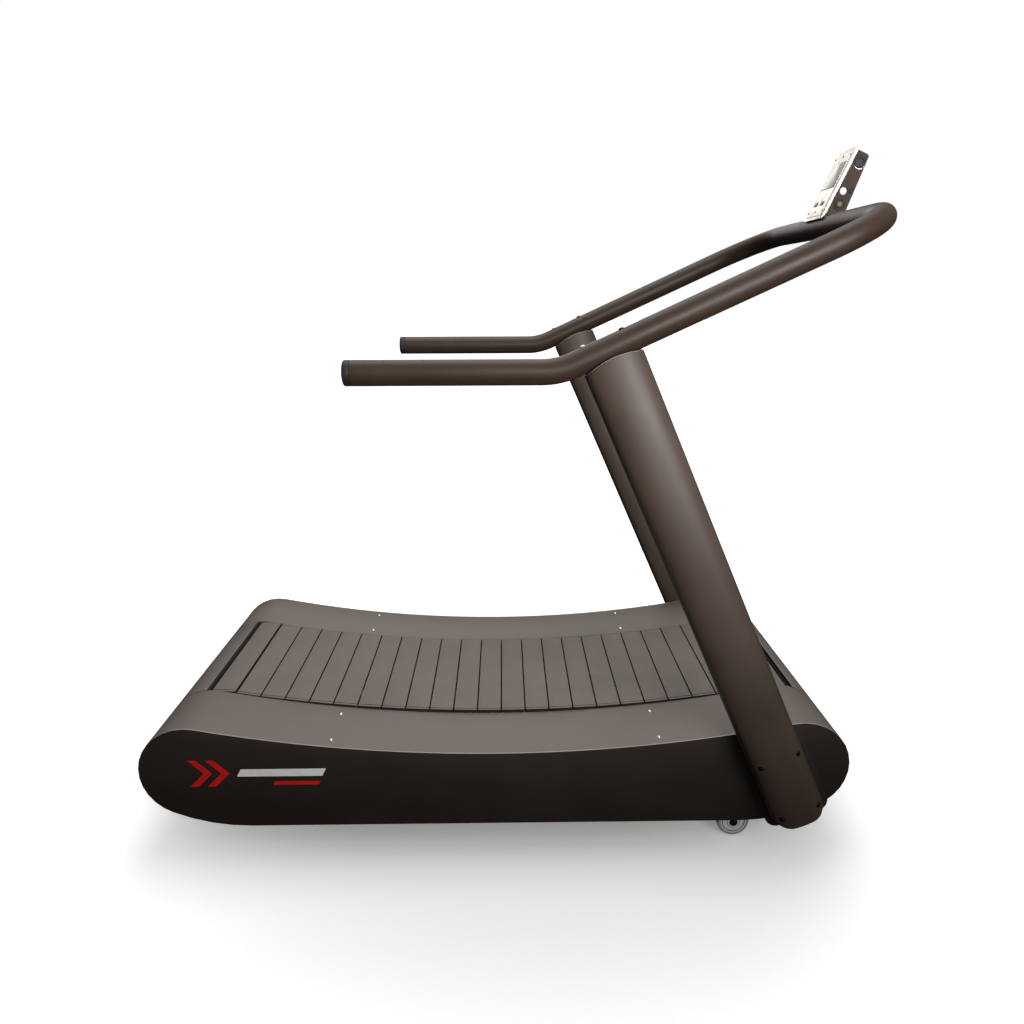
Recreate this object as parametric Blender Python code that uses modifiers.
"""Curved manual treadmill, modelled at real size in metres.

+X points to the front, where the console is, +Z is up, and the origin is at the centre of the
footprint on the floor. The side view of the base is one family of parallel outlines: a concave
running arc, a round end at each side and a flat bottom, each part keeping its own inset.
"""
import math

import bmesh
import bpy
from mathutils import Matrix, Vector

# Base, in side view
DECK_X = -0.0159          # lowest point of the running arc
DECK_TOP = 0.252          # height of the foot rails at that point
ARC_R = 3.60              # radius of the concave running arc
END_R = 0.120             # round ends of the base
END_Z = 0.206             # height of their centres
BASE_BOTTOM = 0.056
FLAT_X = 0.600            # half length of the flat bottom
ARC_Z = DECK_TOP + ARC_R  # height of the running arc's centre
END_X = math.sqrt((ARC_R + END_R) ** 2 - (ARC_Z - END_Z) ** 2)
TANGENT = math.asin(END_X / (ARC_R + END_R))

# Base, across
PANEL_OUT = 0.403         # outer face of the side panels
PANEL_T = 0.004
RAIL_IN = 0.2175          # inner edge of the foot rails
SHEET = 0.003
FRAME_IN = 0.2225
FRAME_T = 0.006
GAP = 0.0003

# Belt: slats on two rubber traction belts, a little above the foot rails in mid deck
BELT_LOW = 0.260          # tread height at the arc's lowest point
BELT_R = 4.02             # radius of the tread there
WRAP_R = 0.107            # and round the drums
DRUM_X = 0.712
SLATS = 55
TOP_SLATS = 22
WRAP_SLATS = 5
SLAT_T = 0.009            # tread and carrier together
TREAD_T = 0.003
SLAT_GAP = 0.0034
SLAT_HALF = 0.2155
TREAD_HALF = 0.2150
RIB = (0.010, 0.270, 0.012)
LUG_Y, LUG_W, LUG_T = 0.165, 0.040, 0.005
FIRST_SLAT = -10.278      # first slat of the top run, in pitches from the arc's lowest point
BELT_Z = BELT_LOW + BELT_R
DRUM_Z = BELT_Z - math.sqrt((BELT_R + WRAP_R) ** 2 - DRUM_X ** 2)
BELT_TANGENT = math.asin(DRUM_X / (BELT_R + WRAP_R))
PITCH_ARC_R = BELT_R + SLAT_T
PITCH_END_R = WRAP_R - SLAT_T
TOP_LENGTH = 2 * BELT_TANGENT * PITCH_ARC_R
WRAP_LENGTH = (math.pi + BELT_TANGENT) * PITCH_END_R
PITCH = (TOP_LENGTH + 2 * WRAP_LENGTH + 2 * DRUM_X) / SLATS
LIP = 2                   # outline points left open underneath, at each end
COVER_EDGE = {"front": 0.779, "rear": 0.752}  # where the end covers begin, from the low point

# Drums and bearings
SHAFT_R = 0.0125
BORE_R = 0.0130
BEARING_R = 0.036
ROLLER_R = 0.011
ROLLERS = 20
ROLLER_SPAN = 9.75        # the last roller, in pitches from the arc's lowest point

# Cross tubes, feet and transport wheels
CROSS_X = 0.500
CROSS_W, CROSS_H, CROSS_WALL = 0.060, 0.0297, 0.003
FRAME_BOTTOM = END_Z - END_R + 0.004
FOOT_Y = 0.300
WHEEL_X, WHEEL_Y, WHEEL_Z, WHEEL_R = 0.592, 0.378, 0.0425, 0.039
WHEEL_W = 0.028

# Uprights and handrail
LEAN = math.radians(24.2)
POST_TOP = Vector((0.2385, 0.0, 1.2040))  # where its axis meets the handrail's, from the arc
POST_LENGTH = 1.203
POST_W, POST_D, POST_WALL = 0.122, 0.074, 0.004
BOLT_ACROSS, BOLT_DOWN = 0.046, (1.019, 1.172)
PLATE_HALF, PLATE_DOWN = 0.080, (1.006, 1.250)
PLATE_T = 0.003
RAIL_Y = PANEL_OUT + 3 * GAP + PLATE_T + POST_D / 2
TUBE_R = 0.02635
TUBE_WALL = 0.0025
GRIP_END, GRIP_BEND, GRIP_Z = -0.297, 0.1375, 1.159
SLOPE = math.radians(24.37)
BAR_X, BAR_BEND = 0.8175, 0.171
BAR_Z = GRIP_Z + (BAR_X - GRIP_BEND) * math.tan(SLOPE)
CAP_L = 0.0167

# Console
CONSOLE_FOOT = Vector((0.793, 0.0, 1.483))
CONSOLE_TILT = math.radians(23.9)
FACE_W, FACE_H, FACE_T = 0.112, 0.174, 0.003
FOLD_D, FOLD_T = 0.0035, 0.0015
CASE_TOP_D, CASE_LOW_D = 0.034, 0.047
BUTTON_Z = 0.040

for leftover in list(bpy.data.objects):
    bpy.data.objects.remove(leftover)

PARTS = bpy.data.collections.new("curved_manual_treadmill")
HELPERS = bpy.data.collections.new("cutters")
for collection in (PARTS, HELPERS):
    bpy.context.scene.collection.children.link(collection)


def paint(name, colour, roughness, metallic):
    material = bpy.data.materials.new(name)
    material.use_nodes = True
    shader = material.node_tree.nodes["Principled BSDF"]
    shader.inputs["Base Color"].default_value = (*colour, 1.0)
    shader.inputs["Roughness"].default_value = roughness
    shader.inputs["Metallic"].default_value = metallic
    return material


COATED = paint("brown_coating", (0.155, 0.130, 0.112), 0.55, 0.3)
POST_PAINT = paint("post_paint", (0.060, 0.045, 0.036), 0.5, 0.3)
PANEL_PAINT = paint("black_panel", (0.012, 0.010, 0.008), 0.5, 0.0)
TUBE_PAINT = paint("handrail_black", (0.035, 0.029, 0.025), 0.6, 0.0)
TREAD = paint("slat_rubber", (0.150, 0.126, 0.110), 0.8, 0.0)
RUBBER = paint("black_rubber", (0.015, 0.015, 0.015), 0.8, 0.0)
STEEL = paint("bare_steel", (0.50, 0.50, 0.50), 0.35, 1.0)
BRUSHED = paint("brushed_face", (0.58, 0.52, 0.46), 0.35, 0.8)
BRONZE = paint("bronze_case", (0.090, 0.065, 0.052), 0.4, 0.6)
KEYS = paint("pale_keys", (0.40, 0.36, 0.32), 0.7, 0.0)
TYRE = paint("grey_tyre", (0.42, 0.42, 0.42), 0.5, 0.0)
GLASS = paint("display_glass", (0.42, 0.40, 0.35), 0.15, 0.0)


# ---- building blocks ----

def add(name, data, material=None, collection=PARTS):
    """Links a new object; objects outside PARTS are cutters and stay hidden."""
    obj = bpy.data.objects.new(name, data)
    collection.objects.link(obj)
    if material:
        data.materials.append(material)
    if collection is HELPERS:
        obj.hide_render = True
        obj.display_type = "WIRE"
    return obj


def box(name, low, high, material=None, collection=PARTS):
    low, high = Vector(low), Vector(high)
    shape = bmesh.new()
    bmesh.ops.create_cube(shape, size=1.0)
    bmesh.ops.scale(shape, vec=high - low, verts=shape.verts)
    bmesh.ops.translate(shape, vec=(low + high) / 2, verts=shape.verts)
    mesh = bpy.data.meshes.new(name)
    shape.to_mesh(mesh)
    shape.free()
    return add(name, mesh, material, collection)


def rod_y(name, centre, radius, length, material=None, collection=PARTS, sides=32):
    """A round bar along Y, centred on the given point."""
    shape = bmesh.new()
    bmesh.ops.create_cone(shape, cap_ends=True, segments=sides, radius1=radius, radius2=radius,
                          depth=length, matrix=Matrix.Rotation(math.pi / 2, 4, "X"))
    bmesh.ops.translate(shape, vec=centre, verts=shape.verts)
    mesh = bpy.data.meshes.new(name)
    shape.to_mesh(mesh)
    shape.free()
    return add(name, mesh, material, collection)


def bake(obj):
    """Turns a curve, or a mesh with modifiers, into a plain closed mesh in the same place."""
    bpy.context.view_layer.update()
    evaluated = obj.evaluated_get(bpy.context.evaluated_depsgraph_get())
    mesh = bpy.data.meshes.new_from_object(evaluated)
    shape = bmesh.new()
    shape.from_mesh(mesh)
    bmesh.ops.remove_doubles(shape, verts=shape.verts, dist=1e-6)
    bmesh.ops.recalc_face_normals(shape, faces=shape.faces)
    shape.to_mesh(mesh)
    shape.free()
    baked = bpy.data.objects.new(obj.name, mesh)
    obj.users_collection[0].objects.link(baked)
    baked.matrix_world = obj.matrix_world
    name = obj.name
    bpy.data.objects.remove(obj)
    baked.name = name
    if baked.users_collection[0] is HELPERS:
        baked.hide_render = True
        baked.display_type = "WIRE"
    return baked


def circle(x, z, radius, sides=28):
    return arc(x, z, radius, 0, 2 * math.pi, sides)[:-1]


def arc(x, z, radius, start, end, steps):
    """Points on an arc in side view; angles are in radians from +X towards +Z."""
    angles = [start + (end - start) * i / steps for i in range(steps + 1)]
    return [(x + radius * math.cos(a), z + radius * math.sin(a)) for a in angles]


def plate(name, outlines, y_from, y_to, material=None, collection=PARTS):
    """A flat outline in side view, with any holes, extruded from y_from to y_to."""
    curve = bpy.data.curves.new(name, "CURVE")
    curve.dimensions = "2D"
    curve.fill_mode = "BOTH"
    curve.extrude = abs(y_to - y_from) / 2
    for outline in outlines:
        spline = curve.splines.new("POLY")
        spline.points.add(len(outline) - 1)
        for point, (x, z) in zip(spline.points, outline):
            point.co = (x, z, 0, 1)
        spline.use_cyclic_u = True
    obj = add(name, curve, material, collection)
    obj.rotation_euler = (math.pi / 2, 0, 0)
    obj.location = (0, (y_from + y_to) / 2, 0)
    return bake(obj)


def boolean(obj, other, operation):
    modifier = obj.modifiers.new(operation.lower(), "BOOLEAN")
    modifier.operation = operation
    modifier.object = other


def fuse(name, pieces, material):
    """One closed body made of overlapping pieces."""
    first, others = pieces[0], pieces[1:]
    group = bpy.data.collections.new(name + "_pieces")
    bpy.context.scene.collection.children.link(group)
    for piece in others:
        for owner in list(piece.users_collection):
            owner.objects.unlink(piece)
        group.objects.link(piece)
    modifier = first.modifiers.new("union", "BOOLEAN")
    modifier.operation = "UNION"
    modifier.operand_type = "COLLECTION"
    modifier.collection = group
    fused = bake(first)
    fused.name = fused.data.name = name
    for piece in others:
        bpy.data.objects.remove(piece)
    bpy.data.collections.remove(group)
    fused.data.materials.clear()
    fused.data.materials.append(material)
    return fused


def turned(name, profile, centre, material, sides=32):
    """A profile of (radius, y) turned about the Y axis through the centre."""
    shape = bmesh.new()
    verts = [shape.verts.new((radius, 0, -y)) for radius, y in profile]
    for a, b in zip(verts, verts[1:]):
        shape.edges.new((a, b))
    mesh = bpy.data.meshes.new(name)
    shape.to_mesh(mesh)
    shape.free()
    obj = add(name, mesh, material)
    screw = obj.modifiers.new("screw", "SCREW")
    screw.steps = screw.render_steps = sides
    screw.use_merge_vertices = True
    screw.merge_threshold = 0.00001
    obj.rotation_euler = (math.pi / 2, 0, 0)
    obj.location = centre
    return bake(obj)


def pivot(name, place):
    empty = bpy.data.objects.new(name, None)
    PARTS.objects.link(empty)
    empty.location = place
    return empty


def hang(obj, parent):
    """Parents an object without moving it."""
    bpy.context.view_layer.update()
    obj.parent = parent
    obj.matrix_parent_inverse = parent.matrix_world.inverted()


def both_sides(build):
    """Builds a part at the right (-Y) and mirrored at the left (+Y)."""
    return {"right": build("right", -1), "left": build("left", 1)}


# ---- outlines of the base ----

def end_path(inset, start=-math.pi / 2, side=1, blend=True):
    """The front end from the flat bottom up to the running arc; side=-1 gives the rear end."""
    reach, drop = END_X - FLAT_X, END_Z - BASE_BOTTOM
    blend_r = (reach ** 2 + drop ** 2 - END_R ** 2) / (2 * (drop - END_R))
    turn = math.atan2(END_Z - BASE_BOTTOM - blend_r, reach)
    points = []
    if blend:
        points += arc(FLAT_X, BASE_BOTTOM + blend_r, blend_r - inset, -math.pi / 2, turn, 4)[:-1]
        start = turn
    points += arc(END_X, END_Z, END_R - inset, start, math.pi / 2 + TANGENT, 14)
    return [(DECK_X + side * x, z) for x, z in points]


def top_path(inset, steps=24):
    """The running arc from front to rear, without its end points."""
    angles = [TANGENT - 2 * TANGENT * i / steps for i in range(1, steps)]
    radius = ARC_R + inset
    return [(DECK_X + radius * math.sin(a), ARC_Z - radius * math.cos(a)) for a in angles]


def base_outline(inset, blend=True):
    rear = end_path(inset, side=-1, blend=blend)
    return end_path(inset, blend=blend) + top_path(inset) + rear[::-1]


def cover_path(inset, side, reach):
    """An end cover: round the end from its upper edge to its lip underneath."""
    edge = math.acos((reach - END_X) / END_R)
    lower = [p for p in end_path(inset, side=side)[LIP:] if p[1] < END_Z]
    upper = arc(END_X, END_Z, END_R - inset, 0, edge, 8)
    return lower + [(DECK_X + side * x, z) for x, z in upper]


# ---- base ----

def side_panel(side, y):
    return plate(f"side_panel_{side}", [base_outline(0)], y * PANEL_OUT, y * (PANEL_OUT - PANEL_T),
                 PANEL_PAINT)


def foot_rail(side, y):
    band = base_outline(0)[LIP:-LIP] + base_outline(SHEET)[LIP:-LIP][::-1]
    outer = PANEL_OUT - PANEL_T - GAP
    return plate(f"foot_rail_{side}", [band], y * RAIL_IN, y * outer, COATED)


def side_frame(side, y):
    """The inner plate that carries the drums, with a bearing housing at each shaft."""
    inset = 0.004
    bores = [circle(DECK_X + end * DRUM_X, DRUM_Z, BORE_R) for end in (-1, 1)]
    outer = FRAME_IN + FRAME_T
    pieces = [plate("frame_plate", [base_outline(inset, blend=False), *bores],
                    y * FRAME_IN, y * outer)]
    for end in (-1, 1):
        x = DECK_X + end * DRUM_X
        ring = [circle(x, DRUM_Z, BEARING_R), circle(x, DRUM_Z, BORE_R)]
        pieces.append(plate("bearing_housing", ring, y * (outer - 0.003), y * (outer + 0.014)))
    return fuse(f"side_frame_{side}", pieces, STEEL)


def end_cover(where, end):
    reach = COVER_EDGE[where]
    band = cover_path(0, end, reach) + cover_path(SHEET, end, reach)[::-1]
    half = RAIL_IN - GAP
    return plate(f"end_cover_{where}", [band], -half, half, COATED)


def cross_tube(name, x):
    low, high = FRAME_BOTTOM - GAP - CROSS_H, FRAME_BOTTOM - GAP
    half, wall = CROSS_W / 2, CROSS_WALL
    outer = [(x - half, low), (x + half, low), (x + half, high), (x - half, high)]
    inner = [(x - half + wall, low + wall), (x + half - wall, low + wall),
             (x + half - wall, high - wall), (x - half + wall, high - wall)]
    reach = PANEL_OUT - PANEL_T - GAP
    return plate(name, [outer, inner], -reach, reach, STEEL)


def bearing_rail(side, y):
    """A curved bar with the rollers that carry the slats of the top run."""
    roller_arc = PITCH_ARC_R + GAP + ROLLER_R
    angle = ROLLER_SPAN * PITCH / PITCH_ARC_R
    steps = 20
    rim = []
    for radius, way in ((roller_arc - 0.006, 1), (roller_arc + 0.024, -1)):
        for i in range(steps + 1):
            a = way * (2 * i / steps - 1) * (angle + 0.004)
            rim.append((DECK_X + radius * math.sin(a), BELT_Z - radius * math.cos(a)))
    pieces = [plate("rail_bar", [rim], y * 0.2170, y * (FRAME_IN - GAP))]
    for i in range(ROLLERS):
        a = angle * (2 * i / (ROLLERS - 1) - 1)
        place = (DECK_X + roller_arc * math.sin(a), y * 0.2077, BELT_Z - roller_arc * math.cos(a))
        pieces.append(rod_y("roller", place, ROLLER_R, 0.019, sides=10))
    return fuse(f"bearing_rail_{side}", pieces, STEEL)


def foot(name, x, y):
    stem_top = FRAME_BOTTOM - CROSS_H - 2 * GAP
    profile = [(0, stem_top), (0.006, stem_top), (0.006, 0.022), (0.022, 0.018), (0.030, 0.010),
               (0.030, 0), (0, 0)]
    obj = turned(name, [(r, -z) for r, z in reversed(profile)], (0, 0, 0), RUBBER, sides=20)
    obj.rotation_euler = (0, 0, 0)
    obj.location = (x, y, 0)
    return obj


def transport_wheel(side, y):
    half, bore = WHEEL_W / 2, 0.0063
    profile = [(bore, half), (0.030, half), (WHEEL_R - 0.003, half), (WHEEL_R, half - 0.003)]
    profile += [(r, -z) for r, z in reversed(profile)]
    place = (DECK_X + WHEEL_X, y * WHEEL_Y, WHEEL_Z)
    return turned(f"transport_wheel_{side}", profile + profile[:1], place, TYRE)


def wheel_bracket(side, y):
    """A plate welded to the front cross tube, with the wheel's pin."""
    x = DECK_X + WHEEL_X
    tube_face = DECK_X + CROSS_X + CROSS_W / 2 + GAP
    inner = WHEEL_Y - WHEEL_W / 2 - 0.008
    corners = [(tube_face, 0.062), (x - 0.010, 0.030), (x + 0.012, 0.030), (x + 0.016, 0.062),
               (x + 0.010, 0.086), (tube_face, 0.086)]
    web = plate("wheel_web", [corners], y * inner, y * (inner + 0.005))
    span = (inner + 0.002, WHEEL_Y + WHEEL_W / 2 + 0.003)
    pin = rod_y("wheel_pin", (x, y * sum(span) / 2, WHEEL_Z), 0.0060, span[1] - span[0], sides=24)
    return fuse(f"wheel_bracket_{side}", [web, pin], STEEL)


# ---- belt and drums ----

def on_belt(distance):
    """Place and heading of the belt's pitch line, measured along it from the arc's low point."""
    s = (distance + TOP_LENGTH / 2) % (PITCH * SLATS) - TOP_LENGTH / 2
    top, wrap = TOP_LENGTH / 2, WRAP_LENGTH
    if s <= top:
        a = s / PITCH_ARC_R
        return PITCH_ARC_R * math.sin(a), BELT_Z - PITCH_ARC_R * math.cos(a), a
    if s <= top + wrap:
        a = BELT_TANGENT - (s - top) / PITCH_END_R
        return DRUM_X - PITCH_END_R * math.sin(a), DRUM_Z + PITCH_END_R * math.cos(a), a
    if s <= top + wrap + 2 * DRUM_X:
        return DRUM_X - (s - top - wrap), DRUM_Z - PITCH_END_R, -math.pi
    a = -math.pi - (s - top - wrap - 2 * DRUM_X) / PITCH_END_R
    return -DRUM_X - PITCH_END_R * math.sin(a), DRUM_Z + PITCH_END_R * math.cos(a), a


def slat_mesh():
    """A slat with its pitch line at z=0: tread, carrier, stiffening rib and two belt lugs."""
    half = (PITCH - SLAT_GAP) / 2
    pieces = [
        box("carrier", (-half, -SLAT_HALF, 0), (half, SLAT_HALF, SLAT_T - TREAD_T + 0.0005)),
        box("tread", (0.0006 - half, -TREAD_HALF, 0.004), (half - 0.0006, TREAD_HALF, SLAT_T)),
        box("rib", (-RIB[0] / 2, -RIB[1] / 2, -RIB[2]), (RIB[0] / 2, RIB[1] / 2, 0.001))]
    for y in (-LUG_Y, LUG_Y):
        pieces.append(box("lug", (0.0002 - half, y - LUG_W / 2, -LUG_T),
                          (half - 0.0002, y + LUG_W / 2, 0.001)))
    solid = fuse("slat", pieces, TREAD)
    mesh = solid.data
    bpy.data.objects.remove(solid)
    return mesh


def lay_on_belt(obj, number):
    """Puts an object on the pitch line, a number of pitches after the first slat."""
    x, z, heading = on_belt((FIRST_SLAT + number) * PITCH)
    obj.location = (DECK_X + x, 0, z)
    obj.rotation_euler = (0, -heading, 0)
    return obj


def return_run(name, first, last):
    """The slack lower run: plain carriers on two continuous traction belts."""
    half = (PITCH - SLAT_GAP) / 2
    pieces = [lay_on_belt(box("carrier", (-half, -SLAT_HALF, 0), (half, SLAT_HALF, SLAT_T)), i)
              for i in range(first, last)]
    length = (last - first) * PITCH - SLAT_GAP - 0.001
    for y in (-LUG_Y, LUG_Y):
        band = box("band", (-length / 2, y - LUG_W / 2, -LUG_T), (length / 2, y + LUG_W / 2, 0.001))
        pieces.append(lay_on_belt(band, (first + last - 1) / 2))
    return fuse(name, pieces, TREAD)


def belt_run(name, mesh, first, last):
    """A curved stretch of belt as one body: its slats, and the traction belts between them."""
    pieces = [lay_on_belt(add("slat", mesh.copy()), i) for i in range(first, last)]
    for i in range(first, last - 1):
        for y in (-LUG_Y, LUG_Y):
            link = box("link", (-0.004, y - LUG_W / 2 + 0.002, 0.0005 - LUG_T),
                       (0.004, y + LUG_W / 2 - 0.002, 0.0055))
            pieces.append(lay_on_belt(link, i + 0.5))
    return fuse(name, pieces, TREAD)


def belt():
    running = pivot("running_surface_axis", (DECK_X, 0, BELT_Z))
    mesh = slat_mesh()
    for number in range(TOP_SLATS):
        hang(lay_on_belt(add(f"slat_{number + 1:02d}", mesh), number), running)
    front_end, rear_start = TOP_SLATS + WRAP_SLATS, SLATS - WRAP_SLATS
    return_run("belt_return_run", front_end, rear_start)
    return {"front": belt_run("belt_front_wrap", mesh, TOP_SLATS, front_end),
            "rear": belt_run("belt_rear_wrap", mesh, rear_start, SLATS)}


def drum(name, end):
    """A shaft with the two wheels that the traction belts run on."""
    wheel_r = PITCH_END_R - LUG_T - GAP - 0.0015
    inner, outer = LUG_Y - LUG_W / 2 - 0.002, LUG_Y + LUG_W / 2 + 0.002
    half = [(wheel_r, inner), (wheel_r, outer), (0.030, outer), (SHAFT_R, outer + 0.008),
            (SHAFT_R, FRAME_IN + FRAME_T + 0.020), (0, FRAME_IN + FRAME_T + 0.020)]
    core = [(0.022, 0.02), (0.022, inner - 0.006), (0.030, inner)]
    front = core + half
    profile = [(r, -y) for r, y in reversed(front)] + front
    return turned(name, profile, (DECK_X + end * DRUM_X, 0, DRUM_Z), STEEL)


# ---- uprights and handrail ----

def leaning(points):
    """Side-view points given along the upright: (across, down) from its top."""
    top_x, top_z = DECK_X + POST_TOP.x, POST_TOP.z
    cos, sin = math.cos(LEAN), math.sin(LEAN)
    return [(top_x + a * cos + d * sin, top_z + a * sin - d * cos) for a, d in points]


def post_outline():
    """The upright's side view: square at the top, rounded corners at the bottom."""
    half, corner = POST_W / 2 + 0.002, 0.040
    low = POST_LENGTH - corner
    points = [(-half, 0.018), (half, 0.018)]
    points += [(half - corner + corner * math.cos(a), low + corner * math.sin(a))
               for a in (math.pi / 2 * i / 5 for i in range(6))]
    points += [(corner - half - corner * math.sin(a), low + corner * math.cos(a))
               for a in (math.pi / 2 * i / 5 for i in range(6))]
    return leaning(points)


def rounded_rectangle(width, depth, radius, steps=4):
    corners = [(1, 1, 0), (-1, 1, 1), (-1, -1, 2), (1, -1, 3)]
    points = []
    for sx, sy, quarter in corners:
        start = quarter * math.pi / 2
        points += arc(sx * (width / 2 - radius), sy * (depth / 2 - radius), radius,
                      start, start + math.pi / 2, steps)
    return points


def bolt_spots():
    """The four bolts of an upright, as (across, down) places."""
    return [(across, down) for down in BOLT_DOWN for across in (-BOLT_ACROSS, BOLT_ACROSS)]


def upright(side, y):
    """A hollow flat-oval post, coped under the handrail, with four recessed bolts at its foot."""
    curve = bpy.data.curves.new("post", "CURVE")
    curve.dimensions = "2D"
    curve.fill_mode = "BOTH"
    curve.extrude = POST_LENGTH / 2 + 0.02
    wall = 2 * POST_WALL
    for outline in (rounded_rectangle(POST_W, POST_D, 0.030),
                    rounded_rectangle(POST_W - wall, POST_D - wall, 0.026)):
        spline = curve.splines.new("POLY")
        spline.points.add(len(outline) - 1)
        for point, (a, b) in zip(spline.points, outline):
            point.co = (a, b, 0, 1)
        spline.use_cyclic_u = True
    post = add(f"upright_{side}", curve, POST_PAINT)
    middle_x, middle_z = leaning([(0, POST_LENGTH / 2)])[0]
    post.rotation_euler = (0, -LEAN, 0)
    post.location = (middle_x, y * RAIL_Y, middle_z)
    post = bake(post)
    trim = plate(f"upright_trim_{side}", [post_outline()], y * (RAIL_Y - POST_D),
                 y * (RAIL_Y + POST_D), collection=HELPERS)
    boolean(post, trim, "INTERSECT")
    for number, place in enumerate(leaning(bolt_spots())):
        outside = y * (RAIL_Y + POST_D / 2)
        hole = rod_y(f"upright_hole_{side}_{number}", (place[0], outside, place[1]), 0.0085, 0.012,
                     collection=HELPERS, sides=20)
        boolean(post, hole, "DIFFERENCE")
    saddle = rod_y(f"upright_saddle_{side}", (0, 0, 0), TUBE_R + GAP, 0.4, collection=HELPERS,
                   sides=48)
    place = Matrix.Translation((DECK_X + POST_TOP.x, y * RAIL_Y, POST_TOP.z))
    along_rail = Matrix.Rotation(-SLOPE, 4, "Y") @ Matrix.Rotation(math.pi / 2, 4, "Z")
    saddle.matrix_world = place @ along_rail
    boolean(post, saddle, "DIFFERENCE")
    return post


def upright_plate(side, y):
    """The plate between an upright and the base, a little wider than the upright."""
    half, (top, low), corner = PLATE_HALF, PLATE_DOWN, 0.030
    points = [(-half, top), (half, top)]
    points += arc(half - corner, low - corner, corner, 0, math.pi / 2, 4)
    points += arc(corner - half, low - corner, corner, math.pi / 2, math.pi, 4)
    start = PANEL_OUT + GAP
    return plate(f"upright_plate_{side}", [leaning(points)], y * start, y * (start + PLATE_T),
                 POST_PAINT)


def fillet(path, corners):
    """Rounds a path's inner points with the given radii and steps."""
    rounded = [path[0]]
    for (before, at, after), (radius, steps) in zip(zip(path, path[1:], path[2:]), corners):
        back, ahead = (before - at).normalized(), (after - at).normalized()
        half_angle = back.angle(ahead) / 2
        centre = at + (back + ahead).normalized() * (radius / math.sin(half_angle))
        start = at + back * (radius / math.tan(half_angle)) - centre
        end = at + ahead * (radius / math.tan(half_angle)) - centre
        turn = start.rotation_difference(end)
        for i in range(steps + 1):
            part = turn.copy()
            part.angle = turn.angle * i / steps
            rounded.append(centre + part @ start)
    rounded.append(path[-1])
    return rounded


def handrail():
    """One bent tube: two level grips, two rising arms and the front cross bar."""
    corners = [(GRIP_END + CAP_L + GAP, GRIP_Z), (GRIP_BEND, GRIP_Z), (BAR_X, BAR_Z)]
    right = [Vector((DECK_X + x, -RAIL_Y, z)) for x, z in corners]
    left = [Vector((p.x, -p.y, p.z)) for p in reversed(right)]
    path = fillet(right + left, [(0.16, 4), (BAR_BEND, 9), (BAR_BEND, 9), (0.16, 4)])
    curve = bpy.data.curves.new("handrail", "CURVE")
    curve.dimensions = "3D"
    curve.bevel_depth = TUBE_R
    curve.bevel_resolution = 4
    spline = curve.splines.new("POLY")
    spline.points.add(len(path) - 1)
    for point, place in zip(spline.points, path):
        point.co = (*place, 1)
    tube = bake(add("handrail", curve, TUBE_PAINT))
    wall = tube.modifiers.new("wall", "SOLIDIFY")
    wall.thickness = TUBE_WALL
    wall.offset = -1
    return tube


def handrail_cap(side, y):
    shape = rod_y(f"handrail_cap_{side}", (0, 0, 0), TUBE_R, CAP_L, RUBBER)
    shape.rotation_euler = (0, 0, math.pi / 2)
    shape.location = (DECK_X + GRIP_END + CAP_L / 2, y * RAIL_Y, GRIP_Z)
    return shape


# ---- console, built upright at the origin and then tilted into place ----

def seat_console(obj, local=(0, 0, 0)):
    turn = Matrix.Rotation(CONSOLE_TILT, 4, "Y")
    base = Matrix.Translation(CONSOLE_FOOT + Vector((DECK_X, 0, 0)))
    obj.matrix_world = base @ turn @ Matrix.Translation(local) @ obj.matrix_world
    return obj


def console_face():
    """A plate whose sides and top are folded back over the case."""
    half, inner = FACE_W / 2, FACE_W / 2 - FOLD_T
    pieces = [box("front", (-FACE_T, -half, 0), (0, half, FACE_H)),
              box("top_fold", (-0.001, -half, FACE_H - FOLD_T), (FOLD_D, half, FACE_H))]
    pieces += [box("side_fold", (-0.001, min(y * half, y * inner), 0.005),
                   (FOLD_D, max(y * half, y * inner), FACE_H)) for y in (-1, 1)]
    shape = fuse("console_face", pieces, BRUSHED)
    for y in (-0.018, 0.018):
        hole = box(f"button_hole_{'right' if y < 0 else 'left'}", (-0.01, y - 0.0085, BUTTON_Z - 0.0055),
                   (0.01, y + 0.0085, BUTTON_Z + 0.0055), collection=HELPERS)
        boolean(shape, seat_console(hole), "DIFFERENCE")
    return seat_console(shape)


def cross_bar_cutter(name):
    """A little thicker than the cross bar, so that what sits on it keeps clear."""
    return rod_y(name, (DECK_X + BAR_X, 0, BAR_Z), TUBE_R + GAP, 0.3, collection=HELPERS, sides=48)


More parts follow.
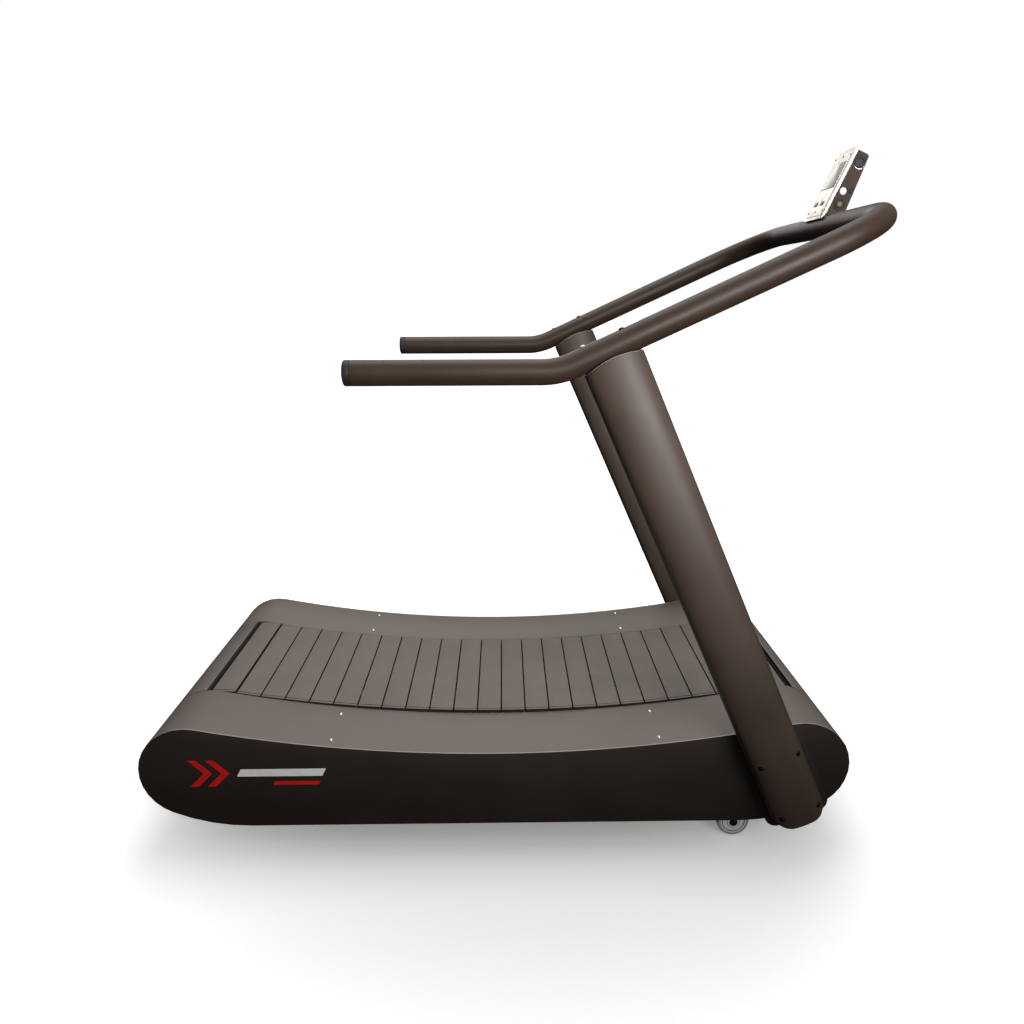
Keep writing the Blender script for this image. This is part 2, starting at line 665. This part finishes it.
def console_case():
    """Two folded side plates, coped over the cross bar, with a top bridge and a web."""
    top, low, corner = FACE_H - 0.006, 0.003, 0.006
    side_view = [(GAP, low), (0.030, low), (CASE_LOW_D, 0.012),
                 *arc(CASE_TOP_D - corner, top - corner, corner, 0, math.pi / 2, 4), (GAP, top)]
    holes = [circle(0.021, 0.145, 0.0120, 24), circle(0.017, 0.075, 0.0085, 24)]
    half = FACE_W / 2 - 0.002
    pieces = [plate("cheek", [side_view, *holes], y * half, y * (half - 0.0025)) for y in (-1, 1)]
    pieces.append(box("bridge", (GAP, -half + 0.001, top - 0.004), (0.026, half - 0.001, top - 0.001)))
    pieces.append(box("web", (0.005, -half + 0.001, 0.052), (0.038, half - 0.001, 0.055)))
    case = seat_console(fuse("console_case", pieces, BRONZE))
    boolean(case, cross_bar_cutter("case_saddle"), "DIFFERENCE")
    return case


def console_display():
    return seat_console(box("console_display", (-FACE_T - 0.0018, -0.038, 0.078),
                            (-FACE_T - GAP, 0.038, 0.140), GLASS))


def console_button(side, y):
    centre = Vector((-FACE_T / 2 - 0.0008, y * 0.018, BUTTON_Z))
    key = box(f"console_button_{side}", (-0.0035, -0.0080, -0.0050), (0.0022, 0.0080, 0.0050), KEYS)
    return seat_console(key, centre)


def console_clamp():
    """A saddle between the console's cheeks, seated on the cross bar."""
    x, half = DECK_X + BAR_X, 0.045
    block = box("console_clamp", (x - 0.014, -half, BAR_Z - 0.004), (x + 0.030, half, BAR_Z + 0.034),
                BRONZE)
    boolean(block, cross_bar_cutter("clamp_saddle"), "DIFFERENCE")
    return block


def build():
    both_sides(side_panel)
    both_sides(foot_rail)
    both_sides(side_frame)
    both_sides(bearing_rail)
    end_cover("front", 1)
    end_cover("rear", -1)
    for name, x in (("front", DECK_X + CROSS_X), ("rear", DECK_X - CROSS_X)):
        cross_tube(f"cross_tube_{name}", x)
        both_sides(lambda side, y: foot(f"foot_{name}_{side}", x, y * FOOT_Y))
    both_sides(transport_wheel)
    both_sides(wheel_bracket)
    wraps = belt()
    for name, end in (("front", 1), ("rear", -1)):
        hang(wraps[name], drum(f"drum_{name}", end))
    both_sides(upright)
    both_sides(upright_plate)
    handrail()
    both_sides(handrail_cap)
    console_face()
    console_case()
    console_display()
    both_sides(console_button)
    console_clamp()


build()
